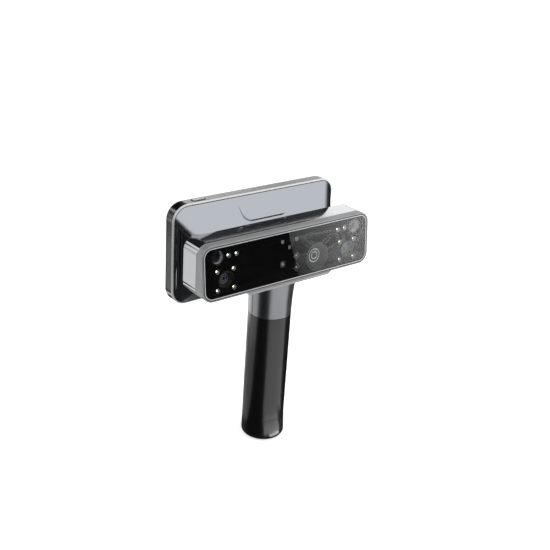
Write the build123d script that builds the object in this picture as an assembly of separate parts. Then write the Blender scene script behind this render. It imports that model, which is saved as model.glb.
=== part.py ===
from build123d import *
from math import cos, sin, tan, radians
import os

# Handheld 3-D scanner, millimetres and degrees.
# The grip axis is Z, its flat end is Z = 0, and the scanning glass faces -Y.

# Camera bar across the front
bar_width = 194.0
bar_corner = 10.5
bar_rear = 5.6
bar_rear_room = 8.2
bar_wall = 2.2
bar_rear_wall = 2.4
bar_edge_round = 0.8
bar_seam_chamfer = 0.4
bar_window_margin_side = 30.0
bar_window_margin_end = 14.0
bar_window_corner = 4.0

# Front ring, bezel and glass, leaning back
glass_tilt = 6.0
ring_depth = 9.8
ring_lip = 1.5
ring_edge_round = 0.6
bezel_width = 1.0
bezel_groove = 0.45
bezel_groove_depth = 0.8
bezel_chamfer = 0.25
glass_inset = 0.15
glass_thickness = 1.5
mask_thickness = 0.2
gasket_thickness = 0.5
glass_ledge = 1.5

# Screen slab at the back
slab_border_side = 7.7
slab_border_end = 8.0
slab_depth = 13.5
slab_corner = 15.5
slab_drop = 3.0
slab_wall = 2.2
slab_back_wall = 3.2
slab_back_round = 2.5
trim_thickness = 1.6
trim_chamfer = 1.0
trim_shelf = 1.9
trim_groove = 0.6
trim_groove_depth = 0.6

# Touch screen
screen_border_side = 11.0
screen_border_end = 6.5
screen_glass_corner = 8.0
screen_glass_thickness = 1.1
screen_gasket_thickness = 0.3
screen_inset = 0.1
panel_width = 150.0
panel_height = 69.0
panel_thickness = 2.4
panel_corner = 3.0

# Cowl between the slab and the bar
cowl_depth = 22.2
cowl_wall = 2.8
cowl_foot_margin = 1.0
cowl_foot_corner = 20.0
cowl_foot_draw = 17.0
vent_margin_front = 1.6
vent_margin_rear = 1.6
vent_foot_margin = 20.0
vent_corner_margin = 17.4
vent_thickness = 2.2
vent_recess = 0.4
vent_frame = 1.2
vent_slots = 7
vent_slot_width = 1.1
vent_reach = 12.0
tab_width = 51.0
tab_offset = -2.5
tab_low = 3.6
tab_length = 19.0
tab_proud = 1.7
tab_corner = 8.0

# Plate under the bar, neck and grip
chin_half_top = 50.2
chin_half_bottom = 46.7
chin_thickness = 2.5
chin_overhang = 3.4
grip_radius = 21.0
grip_wall = 3.05
grip_round = 3.5
grip_top_chamfer = 0.4
toe_height = 24.0
toe_growth = 0.7
toe_shift = 0.8
neck_length = 38.5
neck_flare = 2.4
neck_wall = 2.5
neck_seam_width = 0.6
neck_seam_depth = 0.5

# Core tube and what it holds
tube_wall = 1.7
tube_bottom = 3.4
tube_inset = 3.5
spigot_length = 14.0
column_margin = 4.0
column_front = 12.0
column_rear = 2.0
flange_margin = 5.0
flange_front = 14.0
flange_rear = 2.0
battery_length = 100.0
battery_round = 2.0
contact_thickness = 1.6
contact_pin_length = 5.2
contact_count = 4
contact_radius = 1.4
contact_ring = 8.0

# Twist cap in the end of the grip
cap_top = 12.0
cap_edge_chamfer = 0.5
lug_bottom = 7.0
lug_height = 2.4
lug_reach = 0.9
lug_angle = 40.0
lug_entry_angle = 48.0
pin_hole_radius = 1.6
pin_hole_ring = 9.0
pin_hole_depth = 2.0
seal_section = 0.7
seal_height = 4.9

# Power button on the slab's top edge
power_length = 13.0
power_width = 4.4
power_from_end = 30.7
power_proud = 0.7
power_travel = 0.6
power_flange = 0.8
power_flange_thickness = 1.0
power_switch_width = 6.0
power_shelf = 2.0
power_switch_height = 3.5

# Scan button at the back of the neck
scan_radius = 6.0
scan_up = 8.5
scan_proud = 1.6
scan_crown = 0.6
scan_travel = 1.2
scan_flange = 1.3
scan_flange_thickness = 1.2
scan_switch_size = 9.0

# Optical bench and what it carries, on the glass plane
bench_front = 12.8
bench_thickness = 3.0
bench_margin_side = 5.0
bench_margin_end = 6.9
bench_corner = 3.0
bench_post_radius = 3.4
bench_post_from_end = 9.0
bench_post_low = 4.1
bench_post_inset = 4.0
bench_post_high = 3.6
window_gap = 0.9
board_thickness = 1.2
optics_low_margin = 8.95
optics_gap = 6.65
optics_high_margin = 5.0
camera_body_depth = 7.0

side_camera_from_end = 25.8
side_window_rim = 0.5
side_camera_barrel = 7.9
side_camera_front = 3.2
side_camera_lens = 4.3
side_camera_cone = 6.9
side_camera_cone_depth = 3.0
side_camera_body = 20.0

centre_camera_gap = 2.3
centre_barrel_margin = 0.24
centre_window_rim = 1.0
centre_camera_barrel = 12.9
centre_camera_front = 3.2
centre_camera_lens = 6.6
centre_camera_cone = 11.6
centre_camera_cone_depth = 3.4
centre_camera_body = 24.0

projector_from_end = 17.5
projector_window_rim = 0.2
projector_barrel = 6.6
projector_wall = 0.9
projector_bore_depth = 5.6
projector_front = 2.6
projector_body = 7.0
projector_body_depth = 6.5
projector_lens_thickness = 1.2

led_window = 2.6
led_radius = 2.2
led_web = 1.445
led_pair_from_end = 29.1
led_pair_pitch = 8.7
led_front = 2.7
led_board_width = 42.0
led_board_from_end = 5.5
led_board_corner = 2.0
led_dome = 0.8

emitter_size = 3.9
emitter_side_x = 8.15
emitter_side_up = 14.2
emitter_low_up = 7.7
range_size = 6.3
range_x = -7.8
range_up = -7.4
laser_size = 6.3
laser_x = 8.4
laser_upper_up = -2.0
laser_lower_up = -13.6
centre_board_width = 31.0
centre_board_gap = 3.9

# Electronics in the slab
mainboard_margin = 17.2
mainboard_thickness = 1.6
standoff_margin_side = 7.5
standoff_margin_end = 6.0
standoff_radius = 2.6
standoff_length = 5.2
sink_width = 50.0
sink_height = 44.0
sink_base = 2.5
sink_depth = 10.0
sink_fins = 9
sink_fin = 1.6
fan_size = 40.0
fan_depth = 8.0
fan_corner = 3.0
fan_rim = 1.4
fan_tip_gap = 0.6
fan_hub = 8.5
fan_hub_gap = 0.6
fan_floor = 1.5
fan_spoke = 3.0
fan_shaft = 1.5
fan_blades = 7
fan_blade_thickness = 1.2
fan_blade_pitch = 35.0
usb_width = 8.94
usb_height = 3.26
usb_length = 7.3
usb_wall = 0.35
usb_tongue_width = 6.6
usb_tongue_thickness = 0.7

# Screws and their places
screw_shank = 1.25
screw_head = 2.2
screw_head_height = 1.5
screw_length = 14.0
boss_radius = 3.4
boss_gap = 0.3
slab_screw_margin = 16.0
bar_screw_from_end = 35.0
bar_screw_inner = 36.0
bar_screw_margin = 6.0
bar_screw_length = 8.0
bench_screw_length = 7.0
neck_screw_margin = 5.9
neck_screw_front = 9.0
neck_screw_rear = 1.8
neck_screw_length = 5.6
neck_boss_height = 2.0

# Fits
fit_gap = 0.05
slip_gap = 0.15
press_gap = 0.2

# Windows, and the bar's height from the two rows of optics behind them
side_camera_window = side_camera_barrel + side_window_rim
centre_camera_window = centre_camera_barrel + centre_window_rim
projector_window = projector_barrel + projector_window_rim
optics_height = 2 * side_camera_window + optics_gap + 2 * projector_window
bar_height = optics_low_margin + optics_height + optics_high_margin
bar_half = bar_width / 2

# Screen slab round its panel
screen_glass_width = panel_width + 2 * screen_border_side
screen_glass_height = panel_height + 2 * screen_border_end
slab_width = screen_glass_width + 2 * slab_border_side
slab_height = screen_glass_height + 2 * slab_border_end

# Heights up the grip, from the cap past the battery to the bar
battery_bottom = cap_top + press_gap
battery_top = battery_bottom + battery_length
frame_bottom = battery_top + contact_pin_length + contact_thickness
tube_top = frame_bottom + spigot_length
grip_top = tube_top + tube_inset
chin_bottom = grip_top + neck_length
bar_bottom = chin_bottom + chin_thickness
bar_mid_height = bar_bottom + bar_height / 2
neck_top_radius = grip_radius + neck_flare

# Depths from the glass back to the screen
bench_rear = bench_front + bench_thickness
bar_rear_y = bar_rear
glass_y = bar_rear_y - bench_rear - camera_body_depth - bar_rear_room
ring_rear_y = glass_y + ring_depth
chin_rear = bar_rear_y + chin_overhang
rim_y = bar_rear_y + cowl_depth
housing_y = rim_y + trim_thickness
back_y = rim_y + slab_depth
slab_mid = bar_mid_height - slab_drop
slab_top = slab_mid + slab_height / 2
tilt = radians(glass_tilt)
front_plane = Plane(origin=(0, glass_y, bar_mid_height), x_dir=(1, 0, 0), z_dir=(0, -cos(tilt), sin(tilt)))
big = 2 * bar_width


def upright(width, height, corner, near_y, far_y, middle, across=0.0):
    """Rounded block facing the front, from near_y back to far_y."""
    plane = Plane(origin=(across, near_y, middle), x_dir=(1, 0, 0), z_dir=(0, -1, 0))
    return extrude(plane * RectangleRounded(width, height, corner), amount=near_y - far_y)


def rod(radius, near_y, far_y, across, height):
    """Round bar along Y."""
    plane = Plane(origin=(across, near_y, height), x_dir=(1, 0, 0), z_dir=(0, -1, 0))
    return extrude(plane * Circle(radius), amount=near_y - far_y)


def behind(outline, near, far, across=0.0, up=0.0):
    """An outline on the glass plane, pushed back from depth near to depth far."""
    plane = front_plane.offset(-near)
    return extrude(plane * (Pos(across, up) * outline), amount=near - far)


def disc(radius, bottom, top, across=0.0, along=0.0):
    """Round block standing on Z."""
    return Pos(across, along, bottom) * extrude(Circle(radius), amount=top - bottom)


def screw_along(plane, length):
    """Cap screw whose head seats on the plane and whose shank runs down its normal."""
    head = extrude(plane * Circle(screw_head), amount=screw_head_height)
    return head + extrude(plane * Circle(screw_shank), amount=-length)


def save(name, *solids):
    shape = solids[0] if len(solids) == 1 else Compound(children=list(solids))
    shape.label = name
    export_step(shape, f"parts/{name}.step")


os.makedirs("parts", exist_ok=True)

# Depths behind the front of the glass plane
mask_front = glass_inset + glass_thickness
gasket_front = mask_front + mask_thickness
ledge_depth = gasket_front + gasket_thickness
board_front = bench_front - board_thickness
front_height = bar_height / cos(tilt)
pocket_width = bar_width - 2 * ring_lip
pocket_height = front_height - 2 * ring_lip
pocket_corner = bar_corner - ring_lip
bezel_outer = bezel_groove + fit_gap
glass_width = pocket_width - 2 * (bezel_outer + bezel_width)
glass_height = pocket_height - 2 * (bezel_outer + bezel_width)
glass_corner = pocket_corner - bezel_outer - bezel_width

# Front ring
ring_reach = glass_y - front_height
ring = upright(bar_width, bar_height, bar_corner, ring_reach, ring_rear_y, bar_mid_height)
ring -= behind(Rectangle(big, big), -big, 0)
outer_edge = ring.faces().sort_by(Axis((0, 0, 0), (0, -1, 0)))[-1].outer_wire().edges()
ring = fillet(outer_edge, ring_edge_round)
ring -= behind(RectangleRounded(pocket_width, pocket_height, pocket_corner), 0, ledge_depth)
throat_height = glass_height - 2 * glass_ledge
throat = RectangleRounded(glass_width - 2 * glass_ledge, throat_height, glass_corner - glass_ledge)
ring -= behind(throat, 0, big)
save("bar_ring", ring)

# Bezel, glass, printed mask and gasket
glass_hole = RectangleRounded(glass_width + 2 * fit_gap, glass_height + 2 * fit_gap, glass_corner + fit_gap)
bezel_foot = RectangleRounded(
    pocket_width - 2 * fit_gap, pocket_height - 2 * fit_gap, pocket_corner - fit_gap
)
bezel_line = RectangleRounded(
    pocket_width - 2 * bezel_outer, pocket_height - 2 * bezel_outer, pocket_corner - bezel_outer
)
bezel = behind(bezel_foot, bezel_groove_depth, ledge_depth) + behind(bezel_line, 0, bezel_groove_depth)
bezel_edge = bezel.faces().sort_by(Axis((0, 0, 0), (0, -1, 0)))[-1].outer_wire().edges()
bezel = chamfer(bezel_edge, bezel_chamfer) - behind(glass_hole, 0, ledge_depth)
save("bezel_trim", bezel)
glass_face = RectangleRounded(glass_width, glass_height, glass_corner)
save("front_glass", behind(glass_face, glass_inset, mask_front))

# Places of the optics, from the bar's ends and edges inwards
side_signs = (-1, 1)
side_camera_x = bar_half - side_camera_from_end
side_camera_up = optics_low_margin + side_camera_window - bar_height / 2
projector_x = bar_half - projector_from_end
projector_up = bar_height / 2 - optics_high_margin - projector_window
projector_bore = projector_barrel - projector_wall
led_board_inner = bar_half - led_board_from_end - led_board_width
led_board_middle = led_board_inner + led_board_width / 2
led_pair_outer = bar_half - led_pair_from_end
led_pair_inner = led_pair_outer - led_pair_pitch
led_square = (side_camera_window + led_window + led_web) / 2 ** 0.5
centre_camera_x = led_board_inner - centre_camera_gap - centre_camera_window
centre_camera_up = centre_camera_barrel + centre_barrel_margin - throat_height / 2
middle_x = centre_camera_x - centre_camera_window - centre_board_gap - centre_board_width / 2
bench_half_width = bar_half - bench_margin_side
bench_half_height = bar_height / 2 - bench_margin_end
bench_posts = []
for side in side_signs:
    bench_posts.append((side * (bar_half - bench_post_from_end), bench_post_low - bench_half_height))
    bench_posts.append((side * (led_board_inner + bench_post_inset), bench_half_height - bench_post_high))
led_places = [(led_pair_inner, projector_up), (led_pair_outer, projector_up)]
for across in (-led_square, led_square):
    for up in (-led_square, led_square):
        led_places.append((side_camera_x + across, side_camera_up + up))
emitter_places = [
    (middle_x - emitter_side_x, emitter_side_up),
    (middle_x + emitter_side_x, emitter_side_up),
    (middle_x, emitter_low_up),
]
laser_places = [(middle_x + laser_x, laser_upper_up), (middle_x + laser_x, laser_lower_up)]
range_place = (middle_x + range_x, range_up)

# Black print on the glass, with a clear window for each piece behind it

mask = behind(glass_face, mask_front, gasket_front)
mask -= behind(Circle(centre_camera_window), 0, big, centre_camera_x, centre_camera_up)
for side in side_signs:
    mask -= behind(Circle(side_camera_window), 0, big, side * side_camera_x, side_camera_up)
    mask -= behind(Circle(projector_window), 0, big, side * projector_x, projector_up)
    for across, up in led_places:
        mask -= behind(Circle(led_window), 0, big, side * across, up)
for across, up in emitter_places:
    mask -= behind(Rectangle(emitter_size, emitter_size), 0, big, across, up)
for across, up in laser_places:
    mask -= behind(Rot(0, 0, 45) * Rectangle(laser_size, laser_size), 0, big, across, up)
mask -= behind(Rectangle(range_size, range_size), 0, big, *range_place)
save("glass_mask", mask)
gasket_hole = behind(throat, 0, big)
save("glass_gasket", behind(glass_face, gasket_front, ledge_depth) - gasket_hole)

# Bar housing, with posts for the bench and bosses for the neck
posts = []
post_floor = bar_rear_y - bar_rear_wall
for across, up in bench_posts:
    seat = front_plane.from_local_coords(Vector(across, up, -bench_rear))
    post = rod(bench_post_radius, ring_rear_y, post_floor, across, seat.Z)
    posts.append(post - behind(Rectangle(big, big), -big, bench_rear))
housing = upright(bar_width, bar_height, bar_corner, ring_rear_y, bar_rear_y, bar_mid_height)
rear_edge = housing.faces().sort_by(Axis.Y)[-1].outer_wire().edges()
housing = fillet(rear_edge, bar_edge_round)
front_edge = housing.faces().sort_by(Axis.Y)[0].outer_wire().edges()
housing = chamfer(front_edge, bar_seam_chamfer)
housing -= upright(
    bar_width - 2 * bar_wall,
    bar_height - 2 * bar_wall,
    bar_corner - bar_wall,
    ring_rear_y,
    post_floor,
    bar_mid_height,
)
bar_window_width = bar_width - 2 * bar_window_margin_side
bar_window_height = bar_height - 2 * bar_window_margin_end
housing -= upright(
    bar_window_width, bar_window_height, bar_window_corner, post_floor, bar_rear_y, bar_mid_height
)
neck_screw_x = neck_top_radius - neck_wall - neck_screw_margin
neck_screw_places = []
for across in (-neck_screw_x, neck_screw_x):
    for along in (-neck_screw_front, -neck_screw_rear):
        neck_screw_places.append((across, along))
neck_boss_top = bar_bottom + bar_wall + neck_boss_height
for across, along in neck_screw_places:
    posts.append(disc(boss_radius, bar_bottom + bar_wall, neck_boss_top, across, along))
for post in posts:
    housing += post
for across, along in neck_screw_places:
    housing -= disc(screw_shank + fit_gap, bar_bottom, neck_boss_top, across, along)
bench_screw_planes = []
for across, up in bench_posts:
    seat = front_plane.from_local_coords(Vector(across, up, -bench_front))
    bench_screw_planes.append(Plane(origin=seat, x_dir=(1, 0, 0), z_dir=front_plane.z_dir))
for plane in bench_screw_planes:
    housing -= extrude(plane * Circle(screw_shank + fit_gap), amount=-bench_screw_length - press_gap)
bar_screw_places = []
bar_screw_up = bar_height / 2 - bar_screw_margin
for distance in (bar_half - bar_screw_from_end, bar_screw_inner):
    for across in (-distance, distance):
        for up in (-bar_screw_up, bar_screw_up):
            bar_screw_places.append((across, bar_mid_height + up))
for across, height in bar_screw_places:
    housing -= rod(screw_shank + fit_gap, ring_rear_y, bar_rear_y, across, height)
save("bar_housing", housing)

# Cowl: a frustum from the slab's rim down to the bar, hollow right through
cowl_width = slab_width - 2 * trim_shelf
cowl_height = slab_height - 2 * trim_shelf
cowl_corner = slab_corner - trim_shelf
foot_width = cowl_width - 2 * cowl_foot_draw
foot_height = bar_height - 2 * cowl_foot_margin


def frustum(inset):
    """The cowl's form, drawn in by a wall."""
    rim = Plane(origin=(0, rim_y, slab_mid), x_dir=(1, 0, 0), z_dir=(0, -1, 0))
    foot = Plane(origin=(0, bar_rear_y, bar_mid_height), x_dir=(1, 0, 0), z_dir=(0, -1, 0))
    trimmed = 2 * inset
    rim_face = rim * RectangleRounded(cowl_width - trimmed, cowl_height - trimmed, cowl_corner - inset)
    foot_face = foot * RectangleRounded(foot_width - trimmed, foot_height - trimmed, cowl_foot_corner - inset)
    return loft([rim_face, foot_face], ruled=True)


cowl_form = frustum(0)
cowl = cowl_form - frustum(cowl_wall)
slab_screw_places = []
slab_screw_x = slab_width / 2 - slab_screw_margin
slab_screw_up = panel_height / 2 + boss_radius + boss_gap
for across in (-slab_screw_x, 0.0, slab_screw_x):
    for up in (-slab_screw_up, slab_screw_up):
        slab_screw_places.append((across, slab_mid + up))
for across, height in slab_screw_places:
    cowl += rod(boss_radius, bar_rear_y, rim_y, across, height) & cowl_form
for across, height in bar_screw_places:
    cowl += rod(boss_radius, bar_rear_y, bar_rear_y + bar_screw_length, across, height) & cowl_form
screw_reach = back_y - screen_inset - screen_glass_thickness - screen_gasket_thickness - screw_head_height
for across, height in slab_screw_places:
    cowl -= rod(screw_shank + fit_gap, screw_reach - screw_length - press_gap, rim_y, across, height)
for across, height in bar_screw_places:
    cowl -= rod(screw_shank + fit_gap, bar_rear_y, bar_rear_y + bar_screw_length, across, height)

# Raised tab on the cowl's top slope, flush at its upper end and proud at its lower end
foot_top = bar_mid_height + foot_height / 2
rim_top = slab_mid + cowl_height / 2
slope_rise = rim_top - foot_top
slope_length = (slope_rise ** 2 + cowl_depth ** 2) ** 0.5
slope_normal = (0, -slope_rise / slope_length, cowl_depth / slope_length)
slope_plane = Plane(origin=(tab_offset, bar_rear_y, foot_top), x_dir=(1, 0, 0), z_dir=slope_normal)
tab_lean = Plane(origin=(0, tab_low + tab_length, 0), x_dir=(1, 0, 0), z_dir=(0, tab_proud, tab_length))
tab_outline = Pos(0, tab_low + tab_length / 2) * RectangleRounded(tab_width, tab_length, tab_corner)
tab_square = Pos(0, tab_low + tab_length * 3 / 4) * Rectangle(tab_width, tab_length / 2)
tab = extrude(tab_outline + tab_square, amount=2 * tab_proud, both=True)
tab -= extrude(tab_lean * Rectangle(big, big), amount=big)
tab_cut = frustum(cowl_wall / 2)
cowl += (slope_plane * tab) - tab_cut

# Side vents: an opening in each side wall and a slotted black grille in it
vent_front = bar_rear_y + vent_margin_front
vent_rear = rim_y - vent_margin_rear
vent_half_front = bar_height / 2 - vent_foot_margin
vent_half_rear = slab_height / 2 - vent_corner_margin
side_plane = Plane(origin=(0, 0, bar_mid_height), x_dir=(0, 1, 0), z_dir=(1, 0, 0))
vent_low = -vent_half_rear - slab_drop
vent_high = vent_half_rear - slab_drop
vent_outline = make_face(Polyline([
    (vent_front, -vent_half_front),
    (vent_rear, vent_low),
    (vent_rear, vent_high),
    (vent_front, vent_half_front),
], close=True))
vent_inner = foot_width / 2 - vent_reach
vent_middle = Box(2 * vent_inner, big, 4 * big)


def vent_zone(border):
    """The outline, drawn in by a border and pushed out through the right side wall."""
    face = offset(vent_outline, -border, kind=Kind.INTERSECTION)
    return extrude(side_plane.offset(vent_inner) * face, amount=big)


cowl -= extrude(side_plane * vent_outline, amount=big, both=True) - vent_middle
vent_layer = frustum(vent_recess) - frustum(vent_recess + vent_thickness)
vent_plate = vent_layer & vent_zone(fit_gap)
slot_field = vent_zone(vent_frame)
slot_pitch = (vent_rear - vent_front - 2 * vent_frame) / vent_slots
for number in range(vent_slots):
    slot_y = vent_front + vent_frame + slot_pitch * (number + 0.5)
    slot = Pos(0, slot_y, bar_mid_height) * Box(2 * big, vent_slot_width, big)
    vent_plate -= slot & slot_field
save("front_cowl", cowl)
save("right_vent", vent_plate)
save("left_vent", mirror(vent_plate, about=Plane.YZ))

# Bright trim round the slab's rim
rim_inner_width = slab_width - 2 * slab_wall
rim_inner_height = slab_height - 2 * slab_wall
rim_inner_corner = slab_corner - slab_wall
trim = upright(slab_width, slab_height, slab_corner, rim_y, housing_y, slab_mid)
trim_edge = trim.faces().sort_by(Axis.Y)[0].outer_wire().edges()
trim = chamfer(trim_edge, trim_chamfer)
groove_block = upright(
    cowl_width + 2 * trim_groove,
    cowl_height + 2 * trim_groove,
    cowl_corner + trim_groove,
    rim_y,
    rim_y + trim_groove_depth,
    slab_mid,
)
trim -= groove_block - upright(cowl_width, cowl_height, cowl_corner, rim_y, housing_y, slab_mid)
cowl_inner_width = cowl_width - 2 * cowl_wall
cowl_inner_height = cowl_height - 2 * cowl_wall
trim -= upright(cowl_inner_width, cowl_inner_height, cowl_corner - cowl_wall, rim_y, housing_y, slab_mid)
for across, height in slab_screw_places:
    trim -= rod(boss_radius + press_gap, rim_y, housing_y, across, height)
save("rim_trim", trim)

# Rear housing: tray with the screen's seat in its back
screen_seat_y = back_y - screen_inset - screen_glass_thickness - screen_gasket_thickness
tray_floor = back_y - slab_back_wall
window_width = panel_width + 2 * press_gap
window_height = panel_height + 2 * press_gap
tray = upright(slab_width, slab_height, slab_corner, housing_y, back_y, slab_mid)
back_edge = tray.faces().sort_by(Axis.Y)[-1].outer_wire().edges()
tray = fillet(back_edge, slab_back_round)
tray -= upright(rim_inner_width, rim_inner_height, rim_inner_corner, housing_y, tray_floor, slab_mid)
tray -= upright(
    screen_glass_width + 2 * slip_gap,
    screen_glass_height + 2 * slip_gap,
    screen_glass_corner + slip_gap,
    screen_seat_y,
    back_y,
    slab_mid,
)
tray -= upright(window_width, window_height, panel_corner + press_gap, tray_floor, back_y, slab_mid)
for across, height in slab_screw_places:
    tray += rod(boss_radius, rim_y, tray_floor, across, height)
for across, height in slab_screw_places:
    tray -= rod(screw_shank + fit_gap, rim_y, back_y, across, height)
    tray -= rod(screw_head + slip_gap, screen_seat_y - screw_head_height, screen_seat_y, across, height)
mainboard_width = cowl_inner_width - 2 * press_gap
mainboard_height = slab_height - 2 * mainboard_margin
standoff_x = mainboard_width / 2 - standoff_margin_side
standoff_up = mainboard_height / 2 - standoff_margin_end
standoff_places = []
for across in (-standoff_x, standoff_x):
    for up in (-standoff_up, standoff_up):
        standoff_places.append((across, slab_mid + up))
board_rear_y = tray_floor - standoff_length
board_front_y = board_rear_y - mainboard_thickness
board_screw_length = mainboard_thickness + standoff_length - press_gap
for across, height in standoff_places:
    tray += rod(standoff_radius, board_rear_y, tray_floor, across, height)
for across, height in standoff_places:
    tray -= rod(screw_shank + fit_gap, board_rear_y, tray_floor, across, height)

# Power button in the tray's top edge, over its switch on a shelf
power_offset = power_from_end - slab_width / 2
power_y = tray_floor - press_gap - power_flange - power_width / 2
power_floor = slab_top - slab_wall
power_spot = Pos(power_offset, power_y, 0)
power_hole = SlotOverall(power_length + 2 * slip_gap, power_width + 2 * slip_gap)
tray -= power_spot * Pos(0, 0, power_floor) * extrude(power_hole, amount=big)
flange_top = power_floor - fit_gap
flange_bottom = flange_top - power_flange_thickness
switch_top = flange_bottom - power_travel - press_gap
switch_bottom = switch_top - power_switch_height
power_cap = extrude(SlotOverall(power_length, power_width), amount=slab_top + power_proud - flange_bottom)
power_rim = SlotOverall(power_length + 2 * power_flange, power_width + 2 * power_flange)
power_form = power_cap + extrude(power_rim, amount=power_flange_thickness)
power_button = power_spot * Pos(0, 0, flange_bottom) * power_form
power_top = power_button.faces().sort_by(Axis.Z)[-1].outer_wire().edges()
power_button = fillet(power_top, power_proud / 2)
save("power_button", power_button)
shelf_near = power_y - power_width / 2
shelf_depth = tray_floor - shelf_near
shelf = Pos(power_offset, shelf_near + shelf_depth / 2, switch_bottom - power_shelf / 2) * Box(
    power_length, shelf_depth, power_shelf
)
tray += shelf
switch_body = Box(power_switch_width, power_width, power_switch_height)
save("power_switch", power_spot * Pos(0, 0, (switch_top + switch_bottom) / 2) * switch_body)

# Charging socket through the tray's right side, on the mainboard's rear face
usb_y = board_rear_y + usb_height / 2
usb_plane = Plane(origin=(slab_width / 2 - screen_inset, usb_y, slab_mid), x_dir=(0, 0, 1), z_dir=(1, 0, 0))
usb_shell = extrude(usb_plane * SlotOverall(usb_width, usb_height), amount=-usb_length)
usb_bore = SlotOverall(usb_width - 2 * usb_wall, usb_height - 2 * usb_wall)
usb_shell -= extrude(usb_plane * usb_bore, amount=-(usb_length - usb_wall))
usb_tongue = usb_plane * Rectangle(usb_tongue_width, usb_tongue_thickness)
usb_shell += extrude(usb_tongue, amount=-usb_length) - extrude(usb_tongue, amount=-2 * usb_wall)
save("usb_socket", usb_shell)
usb_hole = usb_plane * SlotOverall(usb_width + 2 * fit_gap, usb_height + 2 * fit_gap)
tray -= extrude(usb_hole, amount=slab_wall * 2, both=True)
save("rear_housing", tray)

# Screen
screen_face_y = back_y - screen_inset
screen_glass_y = screen_face_y - screen_glass_thickness
screen_glass = upright(
    screen_glass_width, screen_glass_height, screen_glass_corner, screen_glass_y, screen_face_y, slab_mid
)
save("display_glass", screen_glass)
screen_gasket = upright(
    screen_glass_width, screen_glass_height, screen_glass_corner, screen_seat_y, screen_glass_y, slab_mid
)
screen_gasket -= upright(
    window_width, window_height, panel_corner + press_gap, screen_seat_y, screen_glass_y, slab_mid
)
save("display_gasket", screen_gasket)
panel_front = screen_glass_y - panel_thickness
save("display_panel", upright(panel_width, panel_height, panel_corner, panel_front, screen_glass_y, slab_mid))

# Mainboard, heat sink and fan
board = upright(mainboard_width, mainboard_height, standoff_radius, board_front_y, board_rear_y, slab_mid)
for across, height in standoff_places:
    board -= rod(screw_shank + fit_gap, board_front_y, board_rear_y, across, height)
save("mainboard", board)
sink_floor = board_front_y - sink_base
sink_front = board_front_y - sink_depth
sink = upright(sink_width, sink_height, sink_fin, sink_floor, board_front_y, slab_mid)
fin_pitch = (sink_width - sink_fin) / (sink_fins - 1)
for number in range(sink_fins):
    fin_x = -sink_width / 2 + sink_fin / 2 + fin_pitch * number
    fin = Box(sink_fin, sink_floor - sink_front, sink_height - 2 * sink_fin)
    sink += Pos(fin_x, (sink_front + sink_floor) / 2, slab_mid) * fin
save("heat_sink", sink)
fan_front = sink_front - fan_depth
fan_inside = sink_front - fan_floor
fan_bore = fan_size / 2 - fan_rim
frame = upright(fan_size, fan_size, fan_corner, fan_front, sink_front, slab_mid)
frame -= rod(fan_bore, fan_front, sink_front, 0, slab_mid)
spokes = Box(2 * fan_bore, fan_floor, fan_spoke) + Box(fan_spoke, fan_floor, 2 * fan_bore)
frame += Pos(0, sink_front - fan_floor / 2, slab_mid) * spokes
frame += rod(fan_hub, fan_inside, sink_front, 0, slab_mid)
frame -= rod(fan_shaft + fit_gap, fan_front, sink_front, 0, slab_mid)
save("fan_housing", frame)
rotor_rear = fan_inside - fan_hub_gap
rotor = rod(fan_hub, fan_front + fan_hub_gap, rotor_rear, 0, slab_mid)
rotor += rod(fan_shaft, rotor_rear, sink_front, 0, slab_mid)
blade_reach = fan_bore - fan_tip_gap
blade_depth = rotor_rear - fan_front - fan_hub_gap
blade_span = blade_reach - fan_hub / 2
blade = Pos(fan_hub / 2 + blade_span / 2, 0, 0) * Rot(fan_blade_pitch, 0, 0) * Box(
    blade_span, 2 * blade_depth, fan_blade_thickness
)
blade_zone = rod(blade_reach, fan_front + fan_hub_gap, rotor_rear, 0, slab_mid)
for number in range(fan_blades):
    turned = Pos(0, (fan_front + rotor_rear) / 2, slab_mid) * Rot(0, 360 / fan_blades * number, 0) * blade
    rotor += turned & blade_zone
save("fan_rotor", rotor)

# Optical bench
bench = behind(
    RectangleRounded(2 * bench_half_width, 2 * bench_half_height, bench_corner), bench_front, bench_rear
)
for across, up in bench_posts:
    bench -= behind(Circle(screw_shank + fit_gap), 0, big, across, up)
for side in side_signs:
    bench -= behind(Circle(side_camera_barrel + fit_gap), 0, big, side * side_camera_x, side_camera_up)
    bench -= behind(Circle(projector_barrel + fit_gap), 0, big, side * projector_x, projector_up)
bench -= behind(Circle(centre_camera_barrel + fit_gap), 0, big, centre_camera_x, centre_camera_up)
save("optical_bench", bench)


def camera(name, across, up, barrel, front, lens, cone, cone_depth, body):
    """Barrel with a coned mouth through the bench, a lens in it and a sensor box behind."""
    mouth = front_plane.offset(-front) * (Pos(across, up) * Circle(cone))
    throat_face = front_plane.offset(-front - cone_depth) * (Pos(across, up) * Circle(lens + fit_gap))
    tube = behind(Circle(barrel), front, bench_rear, across, up)
    tube -= loft([mouth, throat_face], ruled=True)
    lens_rear = front + cone_depth + lens / 2
    tube -= behind(Circle(lens + fit_gap), front, lens_rear, across, up)
    save(f"{name}_camera_barrel", tube)
    glass = behind(Circle(lens), front + cone_depth, lens_rear, across, up)
    lens_edge = glass.faces().sort_by(Axis((0, 0, 0), (0, -1, 0)))[-1].outer_wire().edges()
    save(f"{name}_camera_lens", fillet(lens_edge, lens / 3))
    body_rear = bench_rear + camera_body_depth
    box = behind(RectangleRounded(body, body, bench_corner), bench_rear, body_rear, across, up)
    save(f"{name}_camera_body", box)


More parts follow.
